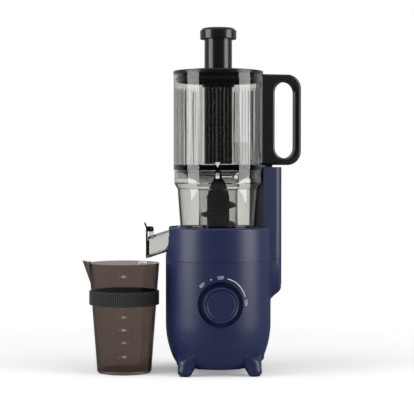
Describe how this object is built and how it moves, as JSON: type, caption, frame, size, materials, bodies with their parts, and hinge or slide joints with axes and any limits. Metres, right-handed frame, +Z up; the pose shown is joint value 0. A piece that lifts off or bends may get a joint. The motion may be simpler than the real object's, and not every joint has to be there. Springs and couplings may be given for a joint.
{
  "type": "cold press juicer",
  "caption": "Upright slow juicer: navy motor base on stub legs with a rotary dial, smoke-clear bowl and ribbed feed chamber with handle, lid and pusher, and a smoke juice cup with grip band.",
  "frame": {"origin": "middle of the footprint of the juicer with its cup, on the table", "axes": "+X to the right and +Y to the back as seen from the dial, +Z up"},
  "size_m": [0.3063, 0.1585, 0.477],
  "materials": {
    "navy_plastic": "satin moulded ABS",
    "black_gloss": "polished moulded ABS",
    "smoke_clear": "clear smoke copolyester",
    "cup_smoke": "brown smoke copolyester",
    "rubber": "moulded silicone",
    "band_rubber": "ribbed silicone",
    "steel": "turned steel",
    "zinc": "die cast",
    "gear_plastic": "acetal",
    "case_plastic": "glass filled nylon",
    "auger_plastic": "moulded PEI",
    "board": "glass epoxy board",
    "magnet": "ferrite"
  },
  "bodies": {
    "base": {"lower_housing": "navy_plastic", "upper_housing": "navy_plastic", "bottom_cover": "navy_plastic", "rubber_feet": "rubber", "bottom_screws": "steel", "inlet_bush": "rubber", "dial_bezel": "navy_plastic", "rotary_switch": "case_plastic", "switch_nut": "steel", "motor_can": "steel", "motor_cap": "zinc", "lower_bearing": "steel", "upper_bearing": "steel", "motor_magnets": "magnet", "gearbox_case": "case_plastic", "gearbox_cover": "case_plastic", "output_bearing": "steel", "gearbox_dampers": "rubber", "gearbox_screws": "steel", "shaft_seal": "rubber", "control_board": "board", "capacitor": "case_plastic", "safety_switch": "case_plastic"},
    "dial": {"dial_knob": "navy_plastic", "switch_spindle": "steel"},
    "rotor": {"motor_rotor": "steel", "rotor_fan": "case_plastic", "motor_pinion": "steel"},
    "layshaft": {"layshaft_wheel": "gear_plastic", "layshaft": "steel"},
    "output": {"output_wheel": "gear_plastic", "output_shaft": "steel"},
    "bowl": {"juice_bowl": "smoke_clear", "flap_pin": "steel", "bowl_seal": "rubber", "pulp_plug": "rubber", "strainer": "smoke_clear"},
    "flap": {"spout_flap": "black_gloss", "flap_seal": "rubber"},
    "auger": {"auger": "auger_plastic"},
    "hopper": {"hopper": "smoke_clear", "hopper_seal": "rubber", "feed_ramp": "smoke_clear", "handle": "black_gloss", "lug_magnet": "magnet"},
    "lid": {"lid": "black_gloss", "lid_seal": "rubber"},
    "pusher": {"pusher": "black_gloss", "pusher_cap": "black_gloss"},
    "cup": {"cup": "cup_smoke", "cup_band": "band_rubber"}
  },
  "joints": [
    {"name": "dial_turn", "type": "hinge", "parent": "base", "child": "dial", "pos_m": [0.0353, -0.0735, 0.1], "axis": [0, 1, 0], "range_deg": [-44, 87]},
    {"name": "output_spin", "type": "hinge", "parent": "base", "child": "output", "pos_m": [0.0353, 0.0065, 0.12], "axis": [0, 0, 1], "continuous": true},
    {"name": "layshaft_spin", "type": "hinge", "parent": "base", "child": "layshaft", "pos_m": [0.0353, 0.03955, 0.1], "axis": [0, 0, 1], "continuous": true},
    {"name": "rotor_spin", "type": "hinge", "parent": "base", "child": "rotor", "pos_m": [0.0353, 0.0065, 0.06], "axis": [0, 0, 1], "continuous": true},
    {"name": "bowl_lift", "type": "slide", "parent": "base", "child": "bowl", "axis": [0, 0, 1], "range_m": [0, 0.13]},
    {"name": "flap_swing", "type": "hinge", "parent": "bowl", "child": "flap", "pos_m": [-0.0577, 0.0065, 0.199], "axis": [0, 1, 0], "range_deg": [0, 75]},
    {"name": "auger_spin", "type": "hinge", "parent": "bowl", "child": "auger", "pos_m": [0.0353, 0.0065, 0.2], "axis": [0, 0, 1], "continuous": true},
    {"name": "hopper_twist", "type": "hinge", "parent": "bowl", "child": "hopper", "pos_m": [0.0353, 0.0065, 0.28], "axis": [0, 0, 1], "range_deg": [0, 23]},
    {"name": "lid_lift", "type": "slide", "parent": "hopper", "child": "lid", "axis": [0, 0, 1], "range_m": [0, 0.13]},
    {"name": "pusher_slide", "type": "slide", "parent": "lid", "child": "pusher", "axis": [0, 0, 1], "range_m": [0, 0.175]},
    {"name": "cup_slide", "type": "slide", "parent": "base", "child": "cup", "axis": [-1, 0, 0], "range_m": [0, 0.12]}
  ],
  "couplings": [
    {"joint": "layshaft_spin", "follows": "output_spin", "ratio": -4.5},
    {"joint": "rotor_spin", "follows": "output_spin", "ratio": 20.25},
    {"joint": "auger_spin", "follows": "output_spin", "ratio": 1}
  ]
}
